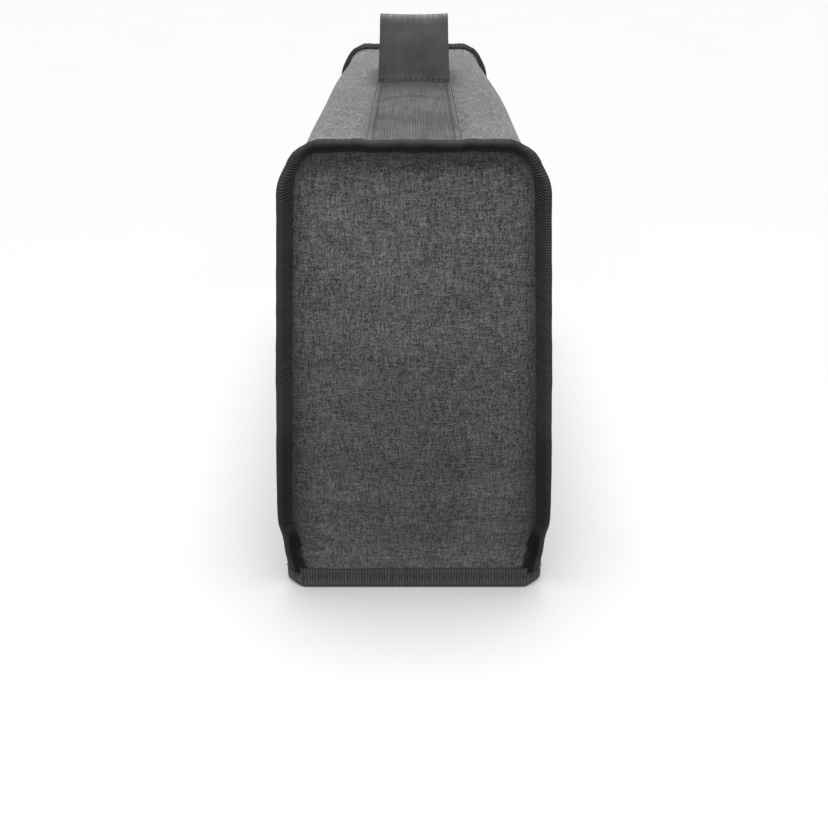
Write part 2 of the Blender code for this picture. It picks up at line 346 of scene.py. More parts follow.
def bezier(start, bend, end, steps):
    """Points of a bent line from start to end, its ends left out."""
    spots = []
    for k in range(1, steps):
        t = k / steps
        spots.append((1 - t) ** 2 * start + 2 * t * (1 - t) * bend + t ** 2 * end)
    return spots


def fin_layers(seam, bend, over, inner):
    """Lines of a cloth from its wall, round the bend and up into the fin."""
    tip = np.maximum(seam.width - 0.0018, 0.0012) * soft_step(seam.z, 0.018, 0.034)
    tip = np.maximum(tip, 0.0003)
    base = np.einsum("ij,ij->i", bend, seam.along)
    rise = np.minimum(0.0014 + seam.climb, tip * 0.7)
    lifted = seam.at(base + rise, over * seam.pinch)
    end = seam.at(np.maximum(base + rise + 0.0002, tip), over * seam.pinch)
    lines = [seam.place(spot) for spot in bezier(inner, bend, lifted, 5)]
    return lines + [seam.place(lifted), seam.place((lifted + end) / 2), seam.place(end)]


def pucker(along, back):
    """Uneven gathers that a seam draws into the cloth beside it."""
    fade = (back / 0.007) * np.exp(1 - back / 0.007)
    slow = (back / 0.020) * np.exp(1 - back / 0.020)
    return (0.00020 * fade * waves(along, (1.0, 0.0131, 0.5), (0.8, 0.0088, 2.1))
            + 0.00034 * slow * waves(along, (1.0, 0.047, 1.2), (0.9, 0.029, 3.0)))


def build_mesh(name, points, quads, uv, material, thickness=0.0):
    """A mesh object from arrays, its UV map in metres of cloth, given thickness if asked."""
    mesh = bpy.data.meshes.new(name)
    mesh.vertices.add(len(points))
    mesh.vertices.foreach_set("co", np.asarray(points, np.float32).ravel())
    quads = np.asarray(quads, np.int32)
    mesh.loops.add(quads.size)
    mesh.loops.foreach_set("vertex_index", quads.ravel())
    mesh.polygons.add(len(quads))
    mesh.polygons.foreach_set("loop_start", np.arange(0, quads.size, quads.shape[1], dtype=np.int32))
    mesh.update(calc_edges=True)
    mesh.validate()
    layer = mesh.uv_layers.new(name="Weave")
    layer.data.foreach_set("uv", np.asarray(uv, np.float32)[quads.ravel()].ravel())
    mesh.shade_smooth()
    mesh.materials.append(material)
    thing = bpy.data.objects.new(name, mesh)
    bpy.context.scene.collection.objects.link(thing)
    if thickness:
        solid = thing.modifiers.new("thickness", 'SOLIDIFY')
        solid.thickness = thickness
        solid.offset = 0.0
        solid.use_even_offset = False
    return thing


def grid_quads(rows, columns, closed=False, keep=None):
    """Quads of a grid stored row by row; closed joins the last row to the first."""
    i, j = np.meshgrid(np.arange(rows if closed else rows - 1), np.arange(columns - 1), indexing="ij")
    if keep is not None:
        picked = keep(i, j)
        i, j = i[picked], j[picked]
    here = (i * columns + j).ravel()
    above = ((i + 1) % rows * columns + j).ravel()
    return np.stack([here, here + 1, above + 1, above], 1)


def used_only(points, quads, uv):
    """Drop the points that no quad uses."""
    order, place = np.unique(quads, return_inverse=True)
    return points[order], place.reshape(quads.shape), uv[order]


def wrap_columns():
    """Y of the wrap's columns, close together near both end seams."""
    near = np.concatenate([np.arange(0.0062, 0.0125, 0.0012), np.arange(0.0145, 0.030, 0.0025)])
    middle = np.linspace(-LENGTH / 2 + 0.033, LENGTH / 2 - 0.033, 72)
    return np.concatenate([near - LENGTH / 2, middle, LENGTH / 2 - near[::-1]])


def build_wrap(material):
    """Both sides and the top in one cloth, turned out into the fins at both ends."""
    ys = wrap_columns()
    paths = section_paths(ys)
    length = running_length(section_paths(0.0)[:, 0, :2])
    length = length - length[-1] / 2
    back = LENGTH / 2 - np.abs(ys)
    under_band = 1 - 0.9 * soft_step(0.030 - np.abs(paths[..., 0]), 0, 0.008) * (paths[..., 1] > 0.2)
    shift = pucker(length[:, None] + 0.013 * np.sign(ys), back[None, :]) * under_band
    shift = shift * soft_step(paths[..., 1], 0.011, 0.030)
    x = paths[..., 0] + shift * paths[..., 2]
    z = paths[..., 1] + shift * paths[..., 3]
    grid = np.stack([x, np.broadcast_to(ys, x.shape), z], -1)
    ends = []
    for y_end in (-LENGTH / 2, LENGTH / 2):
        seam = Seam(y_end, section_paths(y_end)[:, 0])
        bend = seam.crossing(seam.wall, CLOTH_OVER * seam.pinch)
        inner = bend + (0.0016 + 0.5 * seam.climb)[:, None] * seam.wall
        lines = [seam.place(inner)] + fin_layers(seam, bend, CLOTH_OVER, inner)
        ends.append(np.stack(lines, 1))
    grid = np.concatenate([ends[0][:, ::-1], grid, ends[1]], axis=1)
    rows, columns = grid.shape[:2]
    steps = np.linalg.norm(np.diff(grid, axis=1), axis=2).mean(0)
    v = np.concatenate([[0.0], np.cumsum(steps)])
    uv = np.stack(np.meshgrid(length, v, indexing="ij"), -1)
    low = int(np.searchsorted(SIDE_HEIGHTS, CLOTH_FIN_FROM))
    extra = ends[0].shape[1] - 1

    def keep(i, j):
        inside = (j >= extra) & (j < columns - 1 - extra)
        return inside | ((i >= low) & (i < rows - 1 - low))

    quads = grid_quads(rows, columns, keep=keep)
    points, quads, uv = used_only(grid.reshape(-1, 3), quads, uv.reshape(-1, 2))
    return build_mesh("cloth_wrap", points, quads, uv, material, CLOTH)


def swell(across, up):
    """Soft outward swell of an end panel, fullest above its middle; 0 at its seam and hem."""
    edge = np.maximum(0, np.sin(math.pi * np.clip(across, 0, 1))) ** 0.7
    level = np.clip((up - 0.045) / 0.955, 0, 1)
    return PUFF * edge * np.maximum(0, np.sin(math.pi * level ** 1.5)) ** 0.9


def nearest_on_line(points, line):
    """Index of the nearest point of a line, and the distance to it."""
    gaps = np.linalg.norm(points[:, None, :] - line[None, :, :], axis=2)
    return gaps.argmin(1), gaps.min(1)


def build_panel(name, y_end, material):
    """One end panel: a patch inside the seam, then its turned edge in the fin."""
    rows = section_paths(y_end)[:, 0]
    seam = Seam(y_end, rows)
    low = int(np.searchsorted(SIDE_HEIGHTS, CLOTH_FIN_FROM))
    last = len(rows) - 1
    over = -CLOTH_OVER
    straight_in = np.tile([-1.0, 0.0], (len(rows), 1))
    bend = seam.crossing(straight_in, over * seam.pinch)
    hidden = (np.arange(last + 1) < low) | (np.arange(last + 1) > last - low)
    bend[hidden] = (-0.0014, 0.0)
    inner = bend + (0.0018 + seam.climb)[:, None] * straight_in
    inner[hidden] = (-0.0014, 0.0)
    rim = seam.place(inner)
    rim[:, 1] = y_end
    rise = len(SIDE_HEIGHTS) + ARC_STEPS // 2
    left, top, right = rim[:rise + 1], rim[rise:last - rise + 1], rim[last - rise:][::-1]
    width = len(top) - 1
    up = np.linspace(0, 1, rise + 1)[:, None, None]
    across = np.linspace(0, 1, width + 1)[None, :, None]
    sides = left[:, None] * (1 - across) + right[:, None] * across
    floor = left[0] * (1 - across) + right[0] * across
    roof = left[-1] * (1 - across) + right[-1] * across
    patch = sides + (1 - up) * floor + up * top[None] - ((1 - up) * floor + up * roof)
    flat = patch[..., [0, 2]].reshape(-1, 2)
    near, back = nearest_on_line(flat, rim[:, [0, 2]])
    level = (patch[..., 2] - HEM_HEIGHT) / (TOP_HEIGHT - HEM_HEIGHT)
    out = swell(across[..., 0], level).ravel()
    calm = soft_step(flat[:, 1], 0.012, 0.030)
    roll = EDGE_ROLL * (1 - 0.8 * seam.climb[near] / CLIMB) * (1 - np.exp(-back / 0.003))
    out = out + calm * (roll + pucker(seam.middle[near], back))
    out = (out - seam.crease[near] * np.exp(-(back / CREASE_REACH) ** 2)).reshape(level.shape)
    patch[..., 1] += seam.away * out
    points = [patch.reshape(-1, 3)]
    quads = [grid_quads(rise + 1, width + 1)[:, ::-1]]
    index = np.arange((rise + 1) * (width + 1)).reshape(rise + 1, width + 1)
    ring = np.concatenate([index[:-1, 0], index[-1, :], index[-2::-1, -1]])
    uvs = [flat]
    count = len(flat)
    ahead = 0.0
    for line in fin_layers(seam, bend, over, inner):
        fresh = count + np.arange(last + 1)
        cells = np.arange(low, last - low)
        quads.append(np.stack([ring[cells], ring[cells + 1], fresh[cells + 1], fresh[cells]], 1)[:, ::-1])
        ahead += 0.0008
        uvs.append(np.stack([line[:, 0] + ahead * seam.nx, line[:, 2] + ahead * seam.nz], 1))
        points.append(line)
        ring = fresh
        count += last + 1
    points, quads, uv = used_only(np.concatenate(points), np.concatenate(quads), np.concatenate(uvs))
    return build_mesh(name, points, quads, uv, material, CLOTH)


def rib_height(along, pitch, depth):
    """Round ridges with narrow valleys."""
    return depth * (np.abs(np.sin(math.pi * along / pitch)) ** 0.6 - 0.5)


def tape_section(seam):
    """The folded tape's middle line at every station: distance out, and over to the wrap side."""
    leg = TAPE_OVER * seam.pinch
    round_off = TAPE_ROUND + 0.0009 * seam.corner
    start = TAPE_START + seam.climb
    fold = seam.width - TAPE / 2 - round_off
    spots = []
    for share in (0.0, 0.2, 0.4, 0.6, 0.8, 1.0):
        squeeze = SEWN_IN * math.exp(-((share - SEWN_AT) / 0.22) ** 2)
        spots.append((start + share * (fold - start), leg - squeeze))
    for k in range(1, 10):
        turn = math.pi * k / 10
        spots.append((fold + round_off * math.sin(turn), leg * math.cos(turn)))
    for out, over in spots[5::-1]:
        spots.append((out, -over))
    return np.stack([np.stack(pair, 1) for pair in spots], 1)


def build_binding(name, y_end, material):
    """Ribbed tape folded over the seam fin, from hem to hem."""
    low = int(np.searchsorted(SIDE_HEIGHTS, TAPE_FIN_FROM))
    rows = section_paths(y_end)[low:-low, 0]
    seam = Seam(y_end, resample(rows, TAPE_RIB / 4))
    spots = tape_section(seam)
    steps = np.gradient(spots, axis=1)
    size = np.linalg.norm(steps, axis=2, keepdims=True)
    normal = np.stack([steps[..., 1], -steps[..., 0]], -1) / size * -1
    along = seam.middle[:, None] - 0.25 * spots[..., 0]
    ribbed = 0.15 + 0.85 * soft_step(along, *RIBS_START)
    raised = rib_height(along, TAPE_RIB, TAPE_RIB_DEPTH) * ribbed
    gather = waves(along, (0.00006, 0.0037, 0.4), (0.00008, 0.0083, 1.1)) * seam.corner[:, None]
    soft = waves(along, (0.00010, 0.0031, 0.9), (0.00012, 0.0127, 2.0)) * (1 - ribbed)
    raised = raised + (gather + soft) * soft_step(spots[..., 0], 0.003, 0.006)
    spots = spots + normal * raised[..., None]
    lines = [seam.place(seam.at(spots[:, k, 0], spots[:, k, 1])) for k in range(spots.shape[1])]
    grid = np.stack(lines, 1)
    across = running_length(spots[len(spots) // 2])
    across = across - across[-1] / 2
    uv = np.stack([along, np.broadcast_to(across, along.shape)], -1)
    quads = grid_quads(*grid.shape[:2])
    if seam.away < 0:
        quads = quads[:, ::-1]
    return build_mesh(name, grid.reshape(-1, 3), quads, uv.reshape(-1, 2), material, TAPE)


def hem_plan():
    """Plan of the hem's middle line, once round, starting at the front left seam."""
    ys = np.concatenate([[-LENGTH / 2], -LENGTH / 2 + np.arange(0.003, 0.016, 0.003),
                         np.linspace(-LENGTH / 2 + 0.02, LENGTH / 2 - 0.02, 60),
                         LENGTH / 2 - np.arange(0.015, 0.002, -0.003), [LENGTH / 2]])
    paths = section_paths(ys)
    left = np.stack([paths[0, :, 0], ys], 1)
    right = np.stack([paths[-1, :, 0], ys], 1)[::-1]
    share = np.linspace(0, 1, 24)[1:-1, None]
    rear = left[-1] + (right[0] - left[-1]) * share
    front = right[-1] + (left[0] - right[-1]) * share
    return np.concatenate([left, rear, right, front])


def closed_normals(loop):
    """Unit normals of a closed plan line, pointing out of it, softened at corners."""
    way = np.roll(loop, -1, 0) - np.roll(loop, 1, 0)
    way /= np.linalg.norm(way, axis=1, keepdims=True)
    return np.stack([-way[:, 1], way[:, 0]], 1)


def hem_section():
    """Middle line of the hem tape, from the outer top edge round the bottom to the inner one."""
    leg = CLOTH / 2 + GAP + TAPE / 2
    rows = []
    for z in np.linspace(HEM_TOP, HEM_FOOT, 6):
        squeeze = 0.00020 * math.exp(-((z - HEM_SEWN_AT) / 0.0010) ** 2)
        rows.append((leg - squeeze, z))
    for k in range(1, 6):
        turn = math.pi * k / 6
        z = HEM_FOOT - (HEM_FOOT - 0.0005) * math.sin(turn) ** 0.8
        rows.append((leg * math.cos(turn), z))
    return np.array(rows + [(-out, z) for out, z in rows[5::-1]])


def build_hem(material):
    """Ribbed tape folded round the open lower edge."""
    plan = hem_plan()
    plan = resample(np.concatenate([plan, plan[:1]]), HEM_RIB / 4)[:-1]
    for _ in range(18):
        plan = (np.roll(plan, 1, 0) + 2 * plan + np.roll(plan, -1, 0)) / 4
    normal = closed_normals(plan)
    section = hem_section()
    steps = np.gradient(section, axis=0)
    tilt = np.stack([-steps[:, 1], steps[:, 0]], 1) / np.linalg.norm(steps, axis=1, keepdims=True)
    s = running_length(plan)
    ribs = s[-1] / round(s[-1] / HEM_RIB)
    height = rib_height(s[:, None] + 0 * section[None, :, 1], ribs, TAPE_RIB_DEPTH)
    out = section[None, :, 0] + height * tilt[None, :, 0]
    uneven = waves(s, (0.00018, s[-1] / 9, 0.3), (0.00012, s[-1] / 23, 1.0))[:, None]
    z = section[None, :, 1] + height * tilt[None, :, 1] + uneven * soft_step(section[:, 1], 0.003, 0.0095)
    z = np.maximum(z, TAPE / 2)
    grid = np.stack([plan[:, None, 0] + out * normal[:, None, 0],
                     plan[:, None, 1] + out * normal[:, None, 1], z], -1)
    across = running_length(section)
    uv = np.stack(np.meshgrid(s, across, indexing="ij"), -1)
    quads = grid_quads(*grid.shape[:2], closed=True)
    return build_mesh("tape_hem", grid.reshape(-1, 3), quads, uv.reshape(-1, 2), material, TAPE)


def webbing_line():
    """The webbing's run: y, height over the band, share of the loop's width."""
    lift = CLOTH / 2 + 1.4 * GAP + WEBBING / 2
    rows = [(y, 0.0, 0.0) for y in np.arange(-LENGTH / 2 + BAND_END, LOOP_FRONT - 0.0035, 0.002)]
    middle = (LOOP_FRONT + LOOP_REAR) / 2
    half = (LOOP_REAR - LOOP_FRONT) / 2
    for turn in np.linspace(0.0, math.pi, 161):
        rise = abs(math.sin(turn)) ** LOOP_ROUNDNESS
        ahead = math.copysign(abs(math.cos(turn)) ** LOOP_SQUARENESS, math.cos(turn))
        y = middle - half * ahead + LOOP_LEAN * rise
        drop = LOOP_DROP * (y - LOOP_FRONT) / (2.0 * half)
        rows.append((y, LOOP_RISE * rise * (1.0 - drop), min(1.0, 0.30 + 0.95 * rise)))
    rows += [(y, 0.0, 0.0) for y in np.arange(LOOP_REAR + 0.004, LENGTH / 2 - BAND_END, 0.002)]
    rows = resample(np.array(rows), WEBBING_STEP)
    for _ in range(3):
        rows[1:-1] = (rows[:-2] + 2 * rows[1:-1] + rows[2:]) / 4
    return rows, lift


def webbing_surface(rows, lift, shares):
    """Points of the webbing's middle surface and their normals."""
    y, rise, loop = rows[:, 0:1], rows[:, 1:2], rows[:, 2:3]
    half = (BAND_WIDTH + (LOOP_WIDTH - BAND_WIDTH) * loop) / 2
    x = shares[None, :] * half
    level = np.clip(rise / CROWN_FADES_AT, 0, 1)
    crown = (1 - level) * crown_rise(x, y) + level * TOP_CROWN * bow(y)
    z = TOP_HEIGHT + lift + rise + crown + LOOP_DISH * level * shares[None, :] ** 2
    grid = np.stack([x, np.broadcast_to(y, x.shape), z], -1)
    along = np.gradient(grid, axis=0)
    across = np.gradient(grid, axis=1)
    normal = np.cross(across, along)
    return grid, normal / np.linalg.norm(normal, axis=2, keepdims=True)


def build_webbing(material):
    """One ribbed webbing strip: band, carrying loop, band."""
    rows, lift = webbing_line()
    ribs = round(BAND_WIDTH / WEBBING_RIB)
    shares = np.linspace(-1, 1, ribs * 4 + 1)
    grid, normal = webbing_surface(rows, lift, shares)
    height = WEBBING_RIB_DEPTH * (np.abs(np.sin(math.pi * ribs * (shares + 1) / 2)) ** 0.6 - 0.5)
    on_band = 1 - soft_step(rows[:, 1], 0.0005, 0.003)[:, None]
    stitch_line = np.exp(-((np.abs(shares) - SEWN_SHARE) / 0.025) ** 2)[None, :]
    height = height[None, :] * (1 - 0.7 * soft_step(rows[:, 1], 0.003, 0.010)[:, None])
    height = height - 0.00040 * on_band * stitch_line
    x, y = grid[..., 0], grid[..., 1]
    arch = ARCH_AT - ARCH_SAG * (x / BAND_WIDTH) ** 2
    fold = np.exp(-((y - arch) / 0.0022) ** 2) * np.cos(math.pi * x / BAND_WIDTH) ** 2
    height = height + ARCH_RISE * fold
    height = height + on_band * 0.00012 * (1 + waves(y, (0.6, 0.031, 0.2), (0.4, 0.013, 1.0)))
    grid = grid + normal * height[..., None]
    s = running_length(rows[:, :2])
    u = shares * BAND_WIDTH / 2
    uv = np.stack(np.meshgrid(s, u, indexing="ij")[::-1], -1)
    quads = grid_quads(*grid.shape[:2])
    return build_mesh("webbing_strip", grid.reshape(-1, 3), quads, uv.reshape(-1, 2), material, WEBBING)


def stitches(name, runs, length, gap, radius, material):
    """Sewing stitches along lines given as (points, outward normals), joined in one mesh."""
    rings, sides = 6, 6
    points, quads, uv = [], [], []
    turn = np.arange(sides) * 2 * math.pi / sides
    for line, normal in runs:
        s = running_length(line)
        starts = np.arange(gap, s[-1] - length, length + gap)
        for start in starts:
            t = np.linspace(0, 1, rings)
            at = start + t * length
            centre = np.stack([np.interp(at, s, c) for c in line.T], 1)
            up = np.stack([np.interp(at, s, c) for c in normal.T], 1)
            up /= np.linalg.norm(up, axis=1, keepdims=True)
            way = centre[-1] - centre[0]
            way /= np.linalg.norm(way)
            side = np.cross(up, way)
            lift = radius * (1.7 * np.sin(math.pi * t) ** 0.5 - 0.9)
            thick = radius * (0.45 + 0.55 * np.sin(math.pi * t) ** 0.5)
            centre = centre + up * lift[:, None]
            sideways = np.cos(turn)[None, :, None] * side[:, None]
            upwards = np.sin(turn)[None, :, None] * up[:, None]
            ring = centre[:, None] + thick[:, None, None] * (sideways + upwards)
            first = len(points) * rings * sides
            points.append(ring.reshape(-1, 3))
            uv.append(np.stack([np.repeat(at, sides), np.tile(turn * radius, rings)], 1))
            i, j = np.meshgrid(np.arange(rings - 1), np.arange(sides), indexing="ij")
            here = (first + i * sides + j).ravel()
            after = (first + i * sides + (j + 1) % sides).ravel()
            quads.append(np.stack([here, after, after + sides, here + sides], 1))
            for end, flip in ((0, -1), (rings - 1, 1)):
                k = first + end * sides + np.arange(sides)[::flip]
                quads.append(np.array([[k[0], k[1], k[2], k[3]], [k[0], k[3], k[4], k[5]]]))
    return build_mesh(name, np.concatenate(points), np.concatenate(quads), np.concatenate(uv), material)


def hem_thread(material):
    """The stitch row of the hem tape, outside."""
    plan = hem_plan()
    plan = resample(np.concatenate([plan, plan[:1]]), 0.001)
    normal = closed_normals(plan[:-1])
    normal = np.concatenate([normal, normal[:1]])
    leg = CLOTH / 2 + GAP + TAPE
    line = np.column_stack([plan + normal * leg, np.full(len(plan), HEM_SEWN_AT)])
    up = np.column_stack([normal, np.zeros(len(plan))])
    return stitches("thread_hem", [(line, up)], 0.0018, 0.0022, 0.00026, material)


def binding_thread(name, y_end, material):
    """The stitch rows of a fin's tape, one on each side of it."""
    rows = section_paths(y_end)[:, 0]
    seam = Seam(y_end, resample(rows[rows[:, 1] > STITCHES_FROM], 0.001))
    start = TAPE_START + seam.climb
    out = start + SEWN_AT * (seam.width - TAPE / 2 - TAPE_ROUND - start)
    face = TAPE_OVER * seam.pinch - SEWN_IN + TAPE / 2
    runs = []
    for side in (-1, 1):
        line = seam.place(seam.at(out, side * face))
        runs.append((line, seam.place(seam.at(out, side * (face + 0.001))) - line))
    return stitches(name, runs, 0.0026, 0.0010, 0.00022, material)


def webbing_thread(material):
    """Edge rows along the band, and a row across each foot of the loop."""
    rows, lift = webbing_line()
    runs = []
    front = rows[rows[:, 0] < LOOP_FRONT - 0.0004]
    front = front[front[:, 1] < 0.0003]
    rear = rows[(rows[:, 0] > LOOP_REAR + 0.0012) & (rows[:, 1] < 0.0003)]
    for part in (front, rear):
        for share in (-SEWN_SHARE, SEWN_SHARE):
            grid, normal = webbing_surface(part, lift, np.array([share - 0.01, share, share + 0.01]))
            runs.append((grid[:, 1] + normal[:, 1] * WEBBING / 2, normal[:, 1]))
    foot = np.nonzero(rows[:, 1] > 0.0008)[0]
    for part in (rows[foot[0] - 1:foot[0] + 2], rows[foot[-1] - 1:foot[-1] + 2]):
        grid, normal = webbing_surface(part, lift, np.linspace(-0.9, 0.9, 40))
        runs.append((grid[1] + normal[1] * WEBBING / 2, normal[1]))
    return stitches("thread_webbing", runs, 0.0026, 0.0008, 0.00022, material)


class Graph:
    """A material's nodes, with short calls for the few kinds that cloth needs."""

    def __init__(self, name):
        self.material = bpy.data.materials.new(name)
        self.material.use_nodes = True
        self.tree = self.material.node_tree
        self.shader = self.tree.nodes["Principled BSDF"]
        self.uv = self.node("ShaderNodeUVMap", uv_map="Weave").outputs["UV"]

    def node(self, kind, *values, **settings):
        made = self.tree.nodes.new(kind)
        for key, value in settings.items():
            setattr(made, key, value)
        for socket, value in zip(made.inputs, values):
            self.feed(socket, value)
        return made

    def feed(self, socket, value):
        if isinstance(value, bpy.types.NodeSocket):
            self.tree.links.new(value, socket)
        elif value is not None:
            socket.default_value = value

    def math(self, operation, *values):
        return self.node("ShaderNodeMath", *values, operation=operation).outputs[0]

    def parts(self, vector):
        return self.node("ShaderNodeSeparateXYZ", vector).outputs

    def vector(self, x, y, z=0.0):
        return self.node("ShaderNodeCombineXYZ", x, y, z).outputs[0]

    def noise(self, vector, scale, detail=1.0, roughness=0.5):
        made = self.node("ShaderNodeTexNoise", noise_dimensions='2D')
        self.feed(made.inputs["Vector"], vector)
        made.inputs["Scale"].default_value = scale
        made.inputs["Detail"].default_value = detail
        made.inputs["Roughness"].default_value = roughness
        return made.outputs["Fac"]

    def random(self, vector):
        return self.node("ShaderNodeTexWhiteNoise", vector, noise_dimensions='2D').outputs["Value"]

    def blend(self, share, low, high):
        made = self.node("ShaderNodeMix", data_type='FLOAT')
        for socket, value in zip(made.inputs[:4], (share, None, low, high)):
            self.feed(socket, value)
        return made.outputs[0]

    def ramp(self, value, low, high):
        """0 below low, 1 above high, smooth between."""
        made = self.node("ShaderNodeMapRange", value, low, high, interpolation_type='SMOOTHSTEP')
        return made.outputs[0]

    def shade(self, tone, share, amount):
        """The tone changed by an amount where the share is 1."""
        return self.math('MULTIPLY', tone, self.math('MULTIPLY_ADD', share, amount, 1.0))

    def tint(self, value, colour):
        """A colour scaled by a value."""
        made = self.node("ShaderNodeVectorMath", operation='SCALE')
        made.inputs[0].default_value = colour
        self.feed(made.inputs["Scale"], value)
        return made.outputs[0]

    def bump(self, height, distance, strength=1.0):
        made = self.node("ShaderNodeBump")
        made.inputs["Strength"].default_value = strength
        made.inputs["Distance"].default_value = distance
        self.feed(made.inputs["Height"], height)
        self.feed(self.shader.inputs["Normal"], made.outputs[0])

    def finish(self, roughness, sheen, sheen_roughness=0.5, specular=0.12):
        inputs = self.shader.inputs
        if not inputs["Roughness"].is_linked:
            inputs["Roughness"].default_value = roughness
        inputs["Specular IOR Level"].default_value = specular
        inputs["Sheen Weight"].default_value = sheen
        inputs["Sheen Roughness"].default_value = sheen_roughness
        return self.material


def heather_cloth(name, colour, sheen, panel=False):
    """Plain weave of flecked yarns: each crossing shows its warp or its weft thread.

    A panel's cloth has painted shade along its side seams, most of all low down, in its lower
    middle, over its whole lower part and under its top seam, painted light just above the hem,
    and painted shadow, nearly black, in the creases beside the low ends of the fin. The wrap has
    painted sheen towards the rear, is lighter over its shoulders, and has painted shadow beside
    the webbing.
    """
    g = Graph(name)
    u, v, _ = g.parts(g.uv)
    wander = g.noise(g.uv, 120.0)
    u = g.math('MULTIPLY_ADD', wander, 0.3, g.math('DIVIDE', u, THREAD))
    v = g.math('MULTIPLY_ADD', wander, 0.3, g.math('DIVIDE', v, THREAD))
    column, row = g.math('FLOOR', u), g.math('FLOOR', v)
    over = g.math('FLOORED_MODULO', g.math('ADD', column, row), 2.0)
    warp = g.noise(g.vector(g.math('MULTIPLY', column, 7.13), g.math('MULTIPLY', v, 0.08)), 1.0, 2.0, 0.6)
    weft = g.noise(g.vector(g.math('MULTIPLY', u, 0.08), g.math('MULTIPLY', row, 7.13)), 1.0, 2.0, 0.6)
    yarn = g.math('POWER', g.blend(g.blend(over, 0.25, 0.75), warp, weft), 2.0)
    fleck = g.random(g.vector(column, row))
    mottle = g.noise(g.uv, 90.0, 3.0, 0.6)
    worn = g.noise(g.uv, 14.0, 2.0)
    tone = g.math('MULTIPLY_ADD', g.math('SUBTRACT', yarn, 0.26), 3.6, 1.0)
    tone = g.math('MULTIPLY_ADD', g.math('SUBTRACT', fleck, 0.5), 1.2, tone)
    tone = g.math('MULTIPLY_ADD', g.math('SUBTRACT', mottle, 0.5), 0.15, tone)
    tone = g.math('MULTIPLY_ADD', g.math('SUBTRACT', worn, 0.5), 0.25, tone)
    tone = g.math('MAXIMUM', tone, 0.30)
    if panel:
        x, z, _ = g.parts(g.uv)
        x = g.math('ABSOLUTE', x)
        # Painted shade along the side seams, most of all low down, in the lower middle and over the lower
        # part; painted light just above the hem; painted shade under the top seam.
        lower = g.ramp(z, 0.165, 0.095)
        edge = g.ramp(x, 0.046, 0.068)
        tone = g.shade(tone, edge, -0.36)
        tone = g.shade(tone, g.math('MULTIPLY', edge, lower), -0.30)
        tone = g.shade(tone, g.math('MULTIPLY', g.ramp(x, 0.036, 0.012), lower), -0.09)
        tone = g.shade(tone, lower, -0.09)
        tone = g.shade(tone, g.ramp(z, 0.034, 0.016), 0.40)
        tone = g.shade(tone, g.ramp(z, 0.2235, 0.2335), -0.48)
        # Painted shadow, nearly black, in the creases beside the low ends of the fin.
        beyond = g.math('SUBTRACT', x, g.math('MULTIPLY_ADD', z, 0.229, 0.0587))
        low = g.math('MULTIPLY', g.ramp(z, 0.040, 0.030), g.ramp(beyond, -0.0046, -0.0020))
        tone = g.shade(tone, low, -0.90)
    else:
        x, y, _ = g.parts(g.uv)
        # Painted sheen towards the rear; lighter over the shoulders; painted shadow beside the webbing.
        tone = g.shade(tone, g.ramp(y, 0.080, 0.400), 0.20)
        tone = g.shade(tone, g.ramp(g.math('ABSOLUTE', x), 0.036, 0.054), 0.18)
        tone = g.shade(tone, g.ramp(g.math('ABSOLUTE', x), 0.031, 0.023), -0.20)
    g.feed(g.shader.inputs["Base Color"], g.tint(tone, colour))
    bulge_u = g.math('SINE', g.math('MULTIPLY', g.math('FRACT', u), math.pi))
    bulge_v = g.math('SINE', g.math('MULTIPLY', g.math('FRACT', v), math.pi))
    shape = g.math('MULTIPLY', bulge_u, bulge_v)
    g.bump(g.math('MULTIPLY_ADD', yarn, 0.4, shape), 0.00012, 0.7)
    return g.finish(0.85, sheen, 0.5)


